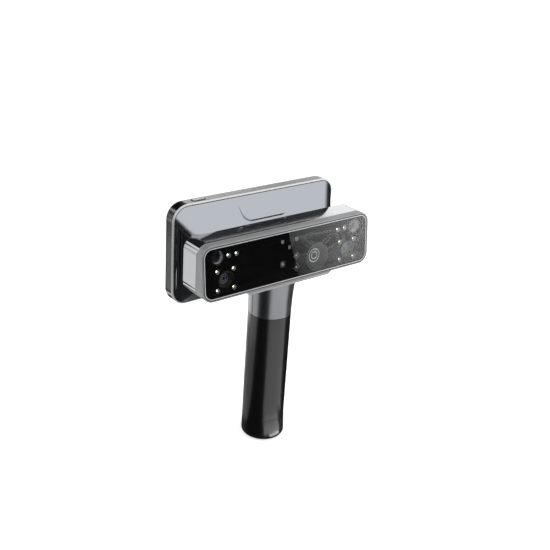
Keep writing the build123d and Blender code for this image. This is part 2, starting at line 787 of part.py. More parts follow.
camera(
    "centre",
    centre_camera_x,
    centre_camera_up,
    centre_camera_barrel,
    centre_camera_front,
    centre_camera_lens,
    centre_camera_cone,
    centre_camera_cone_depth,
    centre_camera_body,
)
for side, side_name in zip(side_signs, ("left", "right")):
    camera(
        side_name,
        side * side_camera_x,
        side_camera_up,
        side_camera_barrel,
        side_camera_front,
        side_camera_lens,
        side_camera_cone,
        side_camera_cone_depth,
        side_camera_body,
    )
    spot = (side * projector_x, projector_up)
    bore_floor = projector_front + projector_bore_depth
    projector = behind(Circle(projector_barrel), projector_front, bench_rear, *spot)
    projector += behind(Circle(projector_body), bench_rear, bench_rear + projector_body_depth, *spot)
    projector -= behind(Circle(projector_bore), projector_front, bore_floor, *spot)
    save(f"{side_name}_projector", projector)
    lens_front = bore_floor - projector_lens_thickness
    projector_lens = behind(Circle(projector_bore - fit_gap), lens_front, bore_floor, *spot)
    save(f"{side_name}_projector_lens", projector_lens)
    led_board = behind(
        RectangleRounded(led_board_width, 2 * bench_half_height, led_board_corner),
        board_front, bench_front, side * led_board_middle, 0,
    )
    led_board -= behind(Circle(side_camera_barrel + window_gap), 0, big, side * side_camera_x, side_camera_up)
    led_board -= behind(Circle(projector_barrel + window_gap), 0, big, *spot)
    for across, up in bench_posts:
        led_board -= behind(Circle(screw_head + window_gap), 0, big, across, up)
    save(f"{side_name}_led_board", led_board)
    leds = []
    for across, up in led_places:
        led = behind(Circle(led_radius), led_front, board_front, side * across, up)
        dome_edge = led.faces().sort_by(Axis((0, 0, 0), (0, -1, 0)))[-1].outer_wire().edges()
        leds.append(fillet(dome_edge, led_radius * led_dome))
    save(f"{side_name}_leds", *leds)

# Middle group: emitters, range sensor and two lasers on one board
centre_outline = RectangleRounded(centre_board_width, 2 * bench_half_height, led_board_corner)
save("centre_board", behind(centre_outline, board_front, bench_front, middle_x))
emitter_face = Rectangle(emitter_size - 2 * slip_gap, emitter_size - 2 * slip_gap)
save("dot_emitters", *[behind(emitter_face, led_front, board_front, *place) for place in emitter_places])
laser_face = Rot(0, 0, 45) * Rectangle(laser_size - 2 * slip_gap, laser_size - 2 * slip_gap)
save("laser_modules", *[behind(laser_face, led_front, board_front, *place) for place in laser_places])
range_face = Rectangle(range_size - 2 * slip_gap, range_size - 2 * slip_gap)
save("range_sensor", behind(range_face, led_front, board_front, *range_place))

# Plate under the bar
chin_front = glass_y - bar_height / 2 * tan(tilt)
chin_profile = make_face(Polyline([
    (-chin_half_top, bar_bottom),
    (-chin_half_bottom, chin_bottom),
    (chin_half_bottom, chin_bottom),
    (chin_half_top, bar_bottom),
], close=True))
chin_plane = Plane(origin=(0, chin_front, 0), x_dir=(1, 0, 0), z_dir=(0, -1, 0))
chin = extrude(chin_plane * chin_profile, amount=chin_front - chin_rear) - cowl_form
flange_width = 2 * (neck_screw_x + flange_margin)
flange_depth = flange_front + flange_rear
flange_middle = (flange_rear - flange_front) / 2
flange_zone = Pos(0, flange_middle, (bar_bottom + chin_bottom) / 2)
chin -= flange_zone * Box(flange_width + 2 * press_gap, flange_depth + 2 * press_gap, 2 * chin_thickness)
save("chin_plate", chin)

# Neck: two half shells that flare a little towards the bar


def neck_form(inset):
    """Round neck, drawn in by a wall."""
    foot = (grip_radius - inset, grip_top)
    head = (neck_top_radius - inset, chin_bottom)
    top = head[1] + neck_length
    side = TangentArc([foot, head], tangent=(0, 1))
    rest = Polyline([head, (head[0], top), (0, top), (0, grip_top), foot])
    return revolve(make_face(Plane.XZ * (Curve() + [side, rest])), Axis.Z)


neck = neck_form(0) - neck_form(neck_wall)
neck -= (neck_form(0) - neck_form(neck_seam_depth)) & Box(big, neck_seam_width, 4 * big)
neck -= cowl_form
neck -= Pos(0, chin_rear - big / 2, chin_bottom + big / 2) * Box(big, big, big)
neck -= upright(slab_width, slab_height, slab_corner, rim_y, back_y, slab_mid)
scan_height = grip_top + scan_up
neck -= rod(scan_radius + slip_gap, 0, big, 0, scan_height)
front_half = Pos(0, -big / 2, 0) * Box(big, big, 4 * big)
save("neck_front", (neck & front_half).solids().sort_by(SortBy.VOLUME)[-1])
save("neck_rear", (neck - front_half).solids().sort_by(SortBy.VOLUME)[-1])

# Frame in the neck, which joins the core tube to the bar
tube_radius = grip_radius - grip_wall - fit_gap
bore_radius = tube_radius - tube_wall
column_width = 2 * (neck_screw_x - column_margin)
column_middle = (column_rear - column_front) / 2
neck_frame = disc(bore_radius - fit_gap, frame_bottom, tube_top)
column_reach = chin_bottom - tube_top
neck_frame += Pos(0, column_middle, tube_top + column_reach / 2) * Box(
    column_width, column_front + column_rear, column_reach
)
neck_frame += flange_zone * Box(flange_width, flange_depth, chin_thickness)
for across, along in neck_screw_places:
    neck_frame -= disc(screw_shank + fit_gap, chin_bottom, bar_bottom, across, along)
save("neck_frame", neck_frame)

# Scan button, pressed forward into the back of the neck
button_flange_rear = ((grip_radius - neck_wall) ** 2 - (scan_radius + scan_flange) ** 2) ** 0.5 - press_gap
button_flange_front = button_flange_rear - scan_flange_thickness
button_face = grip_radius + scan_proud
scan = rod(scan_radius, button_flange_front, button_face, 0, scan_height)
scan_edge = scan.faces().sort_by(Axis.Y)[-1].outer_wire().edges()
scan = fillet(scan_edge, scan_crown)
scan += rod(scan_radius + scan_flange, button_flange_front, button_flange_rear, 0, scan_height)
save("scan_button", scan)
scan_switch_rear = button_flange_front - scan_travel - press_gap
scan_switch_depth = scan_switch_rear - column_rear
save("scan_switch", Pos(0, column_rear + scan_switch_depth / 2, scan_height) * Box(
    scan_switch_size, scan_switch_depth, scan_switch_size
))

# Grip sleeve, with a slight toe at its front
sleeve_top = Plane.XY.offset(toe_height) * Circle(grip_radius)
sleeve_toe = Plane.XY * (Pos(0, -toe_shift) * Circle(grip_radius + toe_growth))
toe = loft([sleeve_toe, sleeve_top], ruled=True)
toe = fillet(toe.faces().sort_by(Axis.Z)[0].outer_wire().edges(), grip_round)
sleeve = toe + disc(grip_radius, toe_height, grip_top)
sleeve = chamfer(sleeve.faces().sort_by(Axis.Z)[-1].outer_wire().edges(), grip_top_chamfer)
sleeve -= disc(tube_radius + fit_gap, 0, grip_top)
save("grip_sleeve", sleeve)

# Core tube, with an inner groove and two entries for the cap's lugs
lug_top = lug_bottom + lug_height
groove_radius = bore_radius + lug_reach + slip_gap
tube = disc(tube_radius, tube_bottom, tube_top) - disc(bore_radius, 0, tube_top)
tube -= disc(groove_radius, lug_bottom - slip_gap, lug_top + slip_gap)


def sector(radius, angle, bottom, top, turn):
    """Slice of a round block, centred on an angle."""
    reach = 2 * radius
    half = radians(angle / 2)
    wedge = make_face(Polyline([
        (0, 0),
        (reach * cos(half), -reach * sin(half)),
        (reach * cos(half), reach * sin(half)),
    ], close=True))
    block = Pos(0, 0, bottom) * Rot(0, 0, turn) * extrude(wedge, amount=top - bottom)
    return block & disc(radius, bottom, top)


for turn in (90, 270):
    tube -= sector(groove_radius, lug_entry_angle, 0, lug_bottom, turn)
save("core_tube", tube)

# Battery pack and its contact board
battery = disc(bore_radius - press_gap, battery_bottom, battery_top)
battery = fillet(battery.edges().filter_by(GeomType.CIRCLE), battery_round)
save("battery_pack", battery)
contact_board = disc(bore_radius - fit_gap, frame_bottom - contact_thickness, frame_bottom)
for number in range(contact_count):
    contact = disc(contact_radius, battery_top + fit_gap, frame_bottom)
    contact_board += Rot(0, 0, 360 / contact_count * number) * Pos(contact_ring, 0, 0) * contact
save("contact_board", contact_board)

# Twist cap with its seal
cap_radius = bore_radius - slip_gap
cap = disc(cap_radius, 0, cap_top)
cap = chamfer(cap.faces().sort_by(Axis.Z)[0].outer_wire().edges(), cap_edge_chamfer)
for turn in (0, 180):
    cap += sector(bore_radius + lug_reach, lug_angle, lug_bottom, lug_top, turn)
for across in (-pin_hole_ring, pin_hole_ring):
    cap -= disc(pin_hole_radius, 0, pin_hole_depth, across, 0)
seal_ring = cap_radius - seal_section
seal = Pos(0, 0, seal_height) * Torus(seal_ring, seal_section)
groove_depth = seal_section * 2 + slip_gap
cap -= disc(bore_radius, seal_height - seal_section, seal_height + seal_section) - disc(
    cap_radius - groove_depth + slip_gap, 0, cap_top
)
save("base_cap", cap)
save("base_seal", seal)

# Screws
slab_screws = []
for across, height in slab_screw_places:
    seat = (across, screen_seat_y - screw_head_height, height)
    plane = Plane(origin=seat, x_dir=(1, 0, 0), z_dir=(0, 1, 0))
    slab_screws.append(screw_along(plane, screw_length))
save("housing_screws", *slab_screws)
bar_screws = []
for across, height in bar_screw_places:
    plane = Plane(origin=(across, post_floor, height), x_dir=(1, 0, 0), z_dir=(0, -1, 0))
    bar_screws.append(screw_along(plane, bar_screw_length))
save("bar_screws", *bar_screws)
bench_screws = []
for plane in bench_screw_planes:
    bench_screws.append(screw_along(plane, bench_screw_length))
save("bench_screws", *bench_screws)
neck_screws = []
for across, along in neck_screw_places:
    plane = Plane(origin=(across, along, chin_bottom), x_dir=(1, 0, 0), z_dir=(0, 0, -1))
    neck_screws.append(screw_along(plane, neck_screw_length))
save("neck_screws", *neck_screws)
board_screws = []
for across, height in standoff_places:
    plane = Plane(origin=(across, board_front_y, height), x_dir=(1, 0, 0), z_dir=(0, -1, 0))
    board_screws.append(screw_along(plane, board_screw_length))
save("board_screws", *board_screws)
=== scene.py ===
from math import cos, radians, sin

import bpy
from mathutils import Matrix, Vector


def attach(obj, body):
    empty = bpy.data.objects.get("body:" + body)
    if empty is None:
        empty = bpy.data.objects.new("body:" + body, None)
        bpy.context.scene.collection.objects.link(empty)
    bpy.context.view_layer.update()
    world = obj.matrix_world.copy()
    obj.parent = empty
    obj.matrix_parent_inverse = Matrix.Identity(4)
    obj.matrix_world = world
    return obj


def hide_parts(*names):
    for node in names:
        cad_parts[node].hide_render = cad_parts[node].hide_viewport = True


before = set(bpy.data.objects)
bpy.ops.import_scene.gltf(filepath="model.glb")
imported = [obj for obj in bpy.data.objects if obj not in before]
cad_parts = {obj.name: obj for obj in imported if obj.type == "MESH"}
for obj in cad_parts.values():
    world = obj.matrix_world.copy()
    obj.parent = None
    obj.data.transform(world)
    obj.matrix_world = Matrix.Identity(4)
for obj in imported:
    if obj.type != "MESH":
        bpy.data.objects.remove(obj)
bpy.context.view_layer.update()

# Core tube and neck frame: the skeleton that carries the grip below and the camera bar above.
# Both are turned and milled from aluminium and left bare, so fine tool lines run round them.
# The tube is pressed onto the frame's spigot, and the bar's floor is screwed down on the frame's flange.


def step(tree, kind, inputs, **settings):
    """One node of a tree, whose sockets are linked or set, and its outputs."""
    node = tree.nodes.new(kind)
    for label, value in settings.items():
        setattr(node, label, value)
    for label, value in inputs.items():
        if isinstance(value, bpy.types.NodeSocket):
            tree.links.new(value, node.inputs[label])
        else:
            node.inputs[label].default_value = value
    return node.outputs


def base_coat(name, fixed):
    """A new material with these values fixed on its shader, and its tree and shader."""
    material = bpy.data.materials.new(name)
    material.use_nodes = True
    tree = material.node_tree
    shader = tree.nodes["Principled BSDF"]
    for socket, value in fixed.items():
        shader.inputs[socket].default_value = value
    return material, tree, shader


def finish(
    name, dark, light, rough, grain, relief=0.0,
    pattern="ShaderNodeTexNoise", stretch=(1, 1, 1), fixed=None,
):
    """A finish whose colour and relief follow a fine grain, and whose polish follows broad clouds."""
    cloud_scale = 35
    relief_height = 0.0002
    material, tree, shader = base_coat(name, fixed or {})
    place = step(tree, "ShaderNodeTexCoord", {})["Object"]
    lay = step(tree, "ShaderNodeMapping", {"Vector": place, "Scale": stretch})
    fine = step(tree, pattern, {"Vector": lay["Vector"], "Scale": grain})[0]
    tone = step(tree, "ShaderNodeMix", {
        "Factor": fine, "A": (*dark, 1), "B": (*light, 1),
    }, data_type="RGBA")
    tree.links.new(tone["Result"], shader.inputs["Base Color"])
    clouds = step(tree, "ShaderNodeTexNoise", {"Vector": place, "Scale": cloud_scale})[0]
    polish = step(tree, "ShaderNodeMapRange", {
        "Value": clouds, "To Min": rough[0], "To Max": rough[1],
    })
    tree.links.new(polish["Result"], shader.inputs["Roughness"])
    if relief:
        bump = step(tree, "ShaderNodeBump", {
            "Height": fine, "Strength": relief, "Distance": relief_height,
        })
        tree.links.new(bump["Normal"], shader.inputs["Normal"])
    return material


def dress(material, *names):
    """The solids of these names take this finish."""
    for name in names:
        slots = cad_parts[name].data.materials
        slots.clear()
        slots.append(material)


bare_aluminium = finish(
    "bare_aluminium", dark=(0.50, 0.50, 0.51), light=(0.66, 0.66, 0.67), rough=(0.28, 0.42),
    grain=900, relief=0.15, stretch=(1, 1, 14), fixed={"Metallic": 1.0},
)
dress(bare_aluminium, "core_tube", "neck_frame")

# Battery pack and its contact board, inside the core tube.
# The cells are held in dark blue shrink film, drawn into faint folds along the pack.
# The board above it carries four sprung pins on a green laminate.
battery_wrap = finish(
    "battery_wrap", dark=(0.035, 0.045, 0.085), light=(0.06, 0.07, 0.12), rough=(0.3, 0.45),
    grain=220, relief=0.3, stretch=(1, 1, 0.1), fixed={"Coat Weight": 0.3},
)
dress(battery_wrap, "battery_pack")
circuit_board = finish(
    "circuit_board", dark=(0.012, 0.055, 0.028), light=(0.04, 0.15, 0.07), rough=(0.3, 0.5),
    grain=260, relief=0.2, pattern="ShaderNodeTexVoronoi", stretch=(1, 0.2, 1.6),
    fixed={"Coat Weight": 0.4},
)
dress(circuit_board, "contact_board")

# Twist cap and seal in the grip's end.
# The cap is a matt black moulding with a spark-eroded skin and two holes for a pin key.
# It locks under two lugs in the grip, on a soft rubber ring in its groove.
cap_black = finish(
    "cap_black", dark=(0.010, 0.010, 0.011), light=(0.028, 0.028, 0.029), rough=(0.42, 0.6),
    grain=2600, relief=0.35,
)
dress(cap_black, "base_cap")
# The same black rubber makes the beads that are painted shade in the grooves round the bezel and the rim
# and round the power button.
soft_seal = finish(
    "soft_seal", dark=(0.012, 0.012, 0.012), light=(0.024, 0.024, 0.024), rough=(0.6, 0.75),
    grain=1500, relief=0.2,
)
dress(soft_seal, "base_seal")

# Grip sleeve: a moulded tube that widens into a small toe at its foot.
# It has a near-black soft-touch coat, whose very fine pebble spreads the highlights into broad bands.
# It slides over the core tube up to the neck.
grip_black = finish(
    "grip_black", dark=(0.0015, 0.0015, 0.002), light=(0.005, 0.005, 0.006), rough=(0.2, 0.27),
    grain=5200, relief=0.10, fixed={"IOR": 1.7},
)
dress(grip_black, "grip_sleeve")

# Neck: two half shells round the frame, with the seam between them left showing.
# They are moulded and sprayed in a silver-grey metallic paint, so tiny flakes glint in it.
# The front half hooks in at the bottom, and screws go up from it into the bar's floor.


def flake_paint(name, dark, light, rough, relief, metal=1.0):
    """A sprayed paint with fine metal flakes in it."""
    return finish(
        name, dark, light, rough, grain=3800, relief=relief,
        pattern="ShaderNodeTexVoronoi", fixed={"Metallic": metal},
    )


neck_paint = flake_paint(
    "neck_paint", dark=(0.26, 0.265, 0.275), light=(0.34, 0.345, 0.36), rough=(0.26, 0.32), relief=0.02,
)
dress(neck_paint, "neck_front", "neck_rear")

# Scan button at the back of the neck, under the thumb, with the switch that it presses.
# The button is a satin black moulding with a flange inside; the switch is a small sealed block.
button_black = finish(
    "button_black", dark=(0.02, 0.02, 0.021), light=(0.045, 0.045, 0.047), rough=(0.32, 0.42),
    grain=2400, relief=0.2,
)
dress(button_black, "scan_button")
switch_black = finish(
    "switch_black", dark=(0.015, 0.015, 0.015), light=(0.03, 0.03, 0.03), rough=(0.45, 0.6),
    grain=1800, relief=0.2,
)
dress(switch_black, "scan_switch")

# Camera bar housing, with the chin plate under it that the neck stands against.
# The housing is cast, painted in a light silver with fine flakes, and closes the bar from behind.
# The plate is a shade darker and lies between the housing and the neck.
bar_paint = flake_paint(
    "bar_paint", dark=(0.50, 0.505, 0.515), light=(0.60, 0.605, 0.615), rough=(0.05, 0.08), relief=0.01,
)
dress(bar_paint, "bar_housing")
chin_paint = flake_paint(
    "chin_paint", dark=(0.33, 0.335, 0.345), light=(0.41, 0.415, 0.425), rough=(0.2, 0.26), relief=0.02,
)
dress(chin_paint, "chin_plate")

# Front ring of the bar and the bright bezel line let into it round the glass.
# The ring is cast and painted a shade darker than the housing; the bezel is cut bright and anodised.
# A thin groove parts the two, and the bezel snaps into the ring's ledge.
ring_paint = flake_paint(
    "ring_paint", dark=(0.30, 0.305, 0.31), light=(0.38, 0.385, 0.39), rough=(0.3, 0.36), relief=0.02,
    metal=0.35,
)
dress(ring_paint, "bar_ring")
bright_trim = finish(
    "bright_trim", dark=(0.68, 0.685, 0.69), light=(0.78, 0.785, 0.79), rough=(0.36, 0.44),
    grain=1800, relief=0.05, stretch=(1, 8, 1), fixed={"Metallic": 0.4},
)
dress(bright_trim, "bezel_trim")

# Optical bench and the three boards on it.
# The bench is a milled aluminium plate that holds every lens in line; the boards are green laminate.
# The bench stands on four posts of the housing, and the boards lie flat on its front.
dress(bare_aluminium, "optical_bench")
dress(circuit_board, "left_led_board", "right_led_board", "centre_board")

# Cameras: one at each end of the bar and a larger one right of the middle.
# Each has a black anodised barrel with a funnel to its lens, and a grey body that bolts to the bench.
# Sharp baffle rings are turned into the funnel, to catch stray light round the lens.
glass_middle = Vector((0, -0.0254, 0.203))
glass_lean = radians(6)
front_frame = Matrix.Translation(glass_middle) @ Matrix((
    (1, 0, 0, 0),
    (0, sin(glass_lean), -cos(glass_lean), 0),
    (0, cos(glass_lean), sin(glass_lean), 0),
    (0, 0, 0, 1),
))


def both_sides(across, up, depth):
    """One place left of the glass's middle and one right of it, at a depth behind the glass."""
    return [(-across, up, -depth), (across, up, -depth)]


def begin_tree(name, sizes):
    """A node tree with a socket for the places and one for each named size, and the sizes' keys."""
    tree = bpy.data.node_groups.new(name, "GeometryNodeTree")
    tree.interface.new_socket("Places", in_out="INPUT", socket_type="NodeSocketGeometry")
    keys = {}
    for label, value in sizes.items():
        kind = "NodeSocketInt" if isinstance(value, int) else "NodeSocketFloat"
        keys[label] = tree.interface.new_socket(label, in_out="INPUT", socket_type=kind).identifier
    tree.interface.new_socket("Pieces", in_out="OUTPUT", socket_type="NodeSocketGeometry")
    return tree, tree.nodes.new("NodeGroupInput").outputs, keys


def end_tree(tree, places, stamp, material):
    """The stamp is put on every place, made real and given its finish."""
    spread = step(tree, "GeometryNodeInstanceOnPoints", {"Points": places, "Instance": stamp})
    real = step(tree, "GeometryNodeRealizeInstances", {"Geometry": spread["Instances"]})
    smooth = step(tree, "GeometryNodeSetShadeSmooth", {"Geometry": real["Geometry"]})
    coated = step(tree, "GeometryNodeSetMaterial", {"Geometry": smooth["Geometry"], "Material": material})
    tree.links.new(coated["Geometry"], tree.nodes.new("NodeGroupOutput").inputs["Pieces"])


def settle(name, tree, keys, sizes, places, place):
    """The tree's pieces as one plain mesh at their place, carried by the scanner."""
    crease = radians(70)
    mesh = bpy.data.meshes.new(name)
    mesh.from_pydata(places, [], [])
    piece = bpy.data.objects.new(name, mesh)
    bpy.context.scene.collection.objects.link(piece)
    run = piece.modifiers.new("pieces", "NODES")
    run.node_group = tree
    for label, value in sizes.items():
        run[keys[label]] = value
    view = bpy.context.evaluated_depsgraph_get()
    made = bpy.data.meshes.new_from_object(piece.evaluated_get(view), depsgraph=view)
    piece.modifiers.remove(run)
    piece.data = made
    coat = made.materials[-1]
    made.materials.clear()
    made.materials.append(coat)
    made.polygons.foreach_set("material_index", [0] * len(made.polygons))
    made.set_sharp_from_angle(angle=crease)
    made.transform(place)
    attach(piece, "scanner")
    return piece


def circle(tree, sides, radius):
    """A round line, or a section with a few sides."""
    return step(tree, "GeometryNodeCurvePrimitiveCircle", {"Resolution": sides, "Radius": radius})["Curve"]


def behind(tree, depth, share=1.0):
    """The point at this share of a depth behind a place."""
    drop = step(tree, "ShaderNodeMath", {0: depth, 1: -share}, operation="MULTIPLY")
    return step(tree, "ShaderNodeCombineXYZ", {"Z": drop["Value"]})["Vector"]


def add_rings(name, sizes, places, material):
    """Thin rings one behind the other, from a wide one in front to a narrow one at the back."""
    ring_sides = 48
    wire_sides = 6
    tree, given, keys = begin_tree(name, sizes)
    line = step(tree, "GeometryNodeMeshLine", {
        "Count": given["Rings"], "Offset": behind(tree, given["Depth"]),
    }, mode="END_POINTS")
    last = step(tree, "ShaderNodeMath", {0: given["Rings"], 1: 1.0}, operation="SUBTRACT")
    index = step(tree, "GeometryNodeInputIndex", {})
    reach = step(tree, "ShaderNodeMapRange", {
        "Value": index["Index"], "From Max": last["Value"],
        "To Min": given["Mouth radius"], "To Max": given["Throat radius"],
    })
    stack = step(tree, "GeometryNodeInstanceOnPoints", {
        "Points": line["Mesh"], "Instance": circle(tree, ring_sides, 1.0), "Scale": reach["Result"],
    })
    loops = step(tree, "GeometryNodeRealizeInstances", {"Geometry": stack["Instances"]})
    rings = step(tree, "GeometryNodeCurveToMesh", {
        "Curve": loops["Geometry"], "Profile Curve": circle(tree, wire_sides, given["Wire"]),
    })
    end_tree(tree, given["Places"], rings["Mesh"], material)
    settle(name, tree, keys, sizes, places, front_frame)


barrel_black = finish(
    "barrel_black", dark=(0.012, 0.012, 0.013), light=(0.026, 0.026, 0.027), rough=(0.35, 0.45),
    grain=1500, relief=0.1, fixed={"Specular IOR Level": 0.25},
)
dress(barrel_black, "left_camera_barrel", "right_camera_barrel", "centre_camera_barrel")
body_grey = finish(
    "body_grey", dark=(0.10, 0.10, 0.105), light=(0.15, 0.15, 0.155), rough=(0.35, 0.5),
    grain=1500, relief=0.15,
)
dress(body_grey, "left_camera_body", "right_camera_body", "centre_camera_body")
lens_glass = finish(
    "lens_glass", dark=(0.010, 0.010, 0.016), light=(0.018, 0.022, 0.026), rough=(0.03, 0.06),
    grain=300, fixed={"IOR": 1.45},
)
dress(lens_glass, "left_camera_lens", "right_camera_lens", "centre_camera_lens")
ring_metal = finish(
    "ring_metal", dark=(0.30, 0.302, 0.305), light=(0.40, 0.402, 0.405), rough=(0.3, 0.4),
    grain=1500, relief=0.1, fixed={"Metallic": 0.5},
)
# The middle lens's rings take a lighter copy of the ring metal, a painted highlight for the glint they
# catch.
painted_highlight_ring = finish(
    "painted_highlight_ring", dark=(0.70, 0.705, 0.71), light=(0.80, 0.805, 0.81), rough=(0.2, 0.3),
    grain=1500, relief=0.1, fixed={"Metallic": 0.5},
)
end_across = 0.0712
end_up = -0.00815
middle_across = 0.0333
middle_up = -0.008
mouth_depth = 0.0036
end_lens_depth = 0.0062
middle_lens_depth = 0.0066
add_rings("end_camera_baffles", {
    "Rings": 4, "Mouth radius": 0.0064, "Throat radius": 0.0044, "Depth": 0.0023, "Wire": 0.00016,
}, both_sides(end_across, end_up, mouth_depth), barrel_black)
add_rings("middle_camera_baffles", {
    "Rings": 5, "Mouth radius": 0.0108, "Throat radius": 0.0069, "Depth": 0.0027, "Wire": 0.0002,
}, [(middle_across, middle_up, -mouth_depth)], barrel_black)
add_rings("end_lens_rings", {
    "Rings": 2, "Mouth radius": 0.0040, "Throat radius": 0.0022, "Depth": 0.0001, "Wire": 0.0003,
}, both_sides(end_across, end_up, end_lens_depth), ring_metal)
add_rings("middle_lens_rings", {
    "Rings": 2, "Mouth radius": 0.0062, "Throat radius": 0.0034, "Depth": 0.0001, "Wire": 0.0005,
}, [(middle_across, middle_up, -middle_lens_depth)], painted_highlight_ring)

# Projectors at the bar's two ends.
# Each is a black anodised tube, open towards the glass, with a pale liner and a dark lens deep inside.
# The tube's square foot is glued into the bench, and the liner is pressed in from the front.


def sweep(tree, line, section):
    """A section drawn along a level line, with its first direction kept outwards."""
    level = step(tree, "GeometryNodeSetCurveNormal", {"Curve": line}, mode="Z_UP")
    drawn = step(tree, "GeometryNodeCurveToMesh", {"Curve": level["Curve"], "Profile Curve": section})
    return drawn["Mesh"]


dress(barrel_black, "left_projector", "right_projector")
dress(lens_glass, "left_projector_lens", "right_projector_lens")
liner_grey = finish(
    "liner_grey", dark=(0.70, 0.705, 0.71), light=(0.80, 0.805, 0.81), rough=(0.4, 0.5),
    grain=1500, relief=0.1,
)
projector_across = 0.0795
projector_up = 0.0137
liner_front = 0.0029
liner_sides = 48
liner_sizes = {"Liner radius": 0.0057, "Wall": 0.0002, "Liner length": 0.0040}
tree, given, keys = begin_tree("projector_liner", liner_sizes)
liner_wall = step(tree, "GeometryNodeCurvePrimitiveQuadrilateral", {
    "Width": given["Wall"], "Height": given["Liner length"],
})
tube = sweep(tree, circle(tree, liner_sides, given["Liner radius"]), liner_wall["Curve"])
liner = step(tree, "GeometryNodeTransform", {
    "Geometry": tube, "Translation": behind(tree, given["Liner length"], share=0.5),
})
end_tree(tree, given["Places"], liner["Geometry"], liner_grey)
settle(
    "projector_liners", tree, keys, liner_sizes,
    both_sides(projector_across, projector_up, liner_front), front_frame,
)

# Marker lamps: six LEDs at each end, four in a square round the camera and two beside the projector.
# Each is a dark resin cup with a pale rim and a small glowing dome in it, soldered to the board behind it.
# The square ones have a greenish yellow phosphor, and the pairs a white one.


def join(tree, *pieces):
    """Several pieces of one tree as one."""
    node = tree.nodes.new("GeometryNodeJoinGeometry")
    for piece in pieces:
        tree.links.new(piece, node.inputs["Geometry"])
    return node.outputs["Geometry"]


def low_ball(tree, sides, rings, radius, height):
    """A ball pressed to a share of its height."""
    ball = step(tree, "GeometryNodeMeshUVSphere", {"Segments": sides, "Rings": rings, "Radius": radius})
    pressed = step(tree, "GeometryNodeTransform", {"Geometry": ball["Mesh"], "Scale": (1, 1, height)})
    return pressed["Geometry"]


pair_up = 0.0137
pair_across = (0.0592, 0.0679)
square_reach = 0.0088
lamp_front = 0.0027
pair_places = []
square_places = []
for side in (-1, 1):
    for across in pair_across:
        pair_places.append((side * across, pair_up, -lamp_front))
    for sideways in (-square_reach, square_reach):
        for upward in (-square_reach, square_reach):
            square_places.append((side * end_across + sideways, end_up + upward, -lamp_front))
lamp_places = pair_places + square_places
cup_resin = finish(
    "cup_resin", dark=(0.05, 0.05, 0.05), light=(0.09, 0.09, 0.088), rough=(0.25, 0.35),
    grain=1800, relief=0.1,
)
cup_sides = 24
cup_sizes = {
    "Body radius": 0.0021, "Body length": 0.0088, "Lip": 0.0002, "Shoulder": 0.0009, "Cup depth": 0.0024,
    "Chip height": 0.0005, "Chip depth": 0.00265,
}
tree, given, keys = begin_tree("lamp_cup", cup_sizes)
lip_inward = step(tree, "ShaderNodeMath", {0: given["Lip"], 1: -1.0}, operation="MULTIPLY")
shoulder_inward = step(tree, "ShaderNodeMath", {0: given["Shoulder"], 1: -1.0}, operation="MULTIPLY")
mouth = step(tree, "ShaderNodeCombineXYZ", {"X": lip_inward["Value"]})
cup_floor = step(tree, "ShaderNodeCombineXYZ", {"X": shoulder_inward["Value"], "Y": given["Cup depth"]})
foot = step(tree, "ShaderNodeCombineXYZ", {"Y": given["Body length"]})
cup_section = step(tree, "GeometryNodeCurvePrimitiveQuadrilateral", {
    "Point 1": (0, 0, 0), "Point 2": foot["Vector"],
    "Point 3": cup_floor["Vector"], "Point 4": mouth["Vector"],
}, mode="POINTS")
body = sweep(tree, circle(tree, cup_sides, given["Body radius"]), cup_section["Curve"])
chip_radius = step(tree, "ShaderNodeMath", {
    0: given["Body radius"], 1: given["Shoulder"],
}, operation="SUBTRACT")
chip_disc = step(tree, "GeometryNodeMeshCylinder", {
    "Vertices": cup_sides, "Radius": chip_radius["Value"], "Depth": given["Chip height"],
})
chip = step(tree, "GeometryNodeTransform", {
    "Geometry": chip_disc["Mesh"], "Translation": behind(tree, given["Chip depth"]),
})
end_tree(tree, given["Places"], join(tree, body, chip["Geometry"]), cup_resin)
cups = settle("lamp_cups", tree, keys, cup_sizes, lamp_places, front_frame)
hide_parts("left_leds", "right_leds")
add_rings("lamp_rims", {
    "Rings": 2, "Mouth radius": 0.0021, "Throat radius": 0.0019, "Depth": 0.0004, "Wire": 0.0002,
}, lamp_places, ring_metal)


def add_domes(name, material, places):
    """The glowing domes at the bottom of the lamp cups, marked with their distance from the middle."""
    dome_sides = 20
    dome_rings = 10
    dome_height = 0.8
    sizes = {"Dome radius": 0.001, "Dome depth": 0.0021}
    tree, given, keys = begin_tree(name, sizes)
    ball = low_ball(tree, dome_sides, dome_rings, given["Dome radius"], dome_height)
    at = step(tree, "GeometryNodeInputPosition", {})
    flat = step(tree, "ShaderNodeVectorMath", {0: at["Position"], 1: (1, 1, 0)}, operation="MULTIPLY")
    away = step(tree, "ShaderNodeVectorMath", {0: flat["Vector"]}, operation="LENGTH")
    share = step(tree, "ShaderNodeMath", {0: away["Value"], 1: given["Dome radius"]}, operation="DIVIDE")
    marked = step(tree, "GeometryNodeStoreNamedAttribute", {
        "Geometry": ball, "Name": "from_middle", "Value": share["Value"],
    }, data_type="FLOAT", domain="POINT")
    dome = step(tree, "GeometryNodeTransform", {
        "Geometry": marked["Geometry"], "Translation": behind(tree, given["Dome depth"]),
    })
    end_tree(tree, given["Places"], dome["Geometry"], material)
    settle(name, tree, keys, sizes, places, front_frame)


def phosphor(name, heart, edge):
    """Glowing resin with a painted glow in its colour: lightest over the chip, darker in the phosphor's
    tint towards its edge.
    """
    heart_reach = 0.55
    edge_reach = 0.95
    material, tree, shader = base_coat(name, {
        "Roughness": 0.12, "Coat Weight": 1.0, "Emission Strength": 7.0,
    })
    mark = step(tree, "ShaderNodeAttribute", {}, attribute_name="from_middle")
    ramp = tree.nodes.new("ShaderNodeValToRGB")
    inner, outer = ramp.color_ramp.elements
    inner.position = heart_reach
    inner.color = (*heart, 1)
    outer.position = edge_reach
    outer.color = (*edge, 1)
    tree.links.new(mark["Fac"], ramp.inputs["Fac"])
    tree.links.new(ramp.outputs["Color"], shader.inputs["Base Color"])
    tree.links.new(ramp.outputs["Color"], shader.inputs["Emission Color"])
    return material


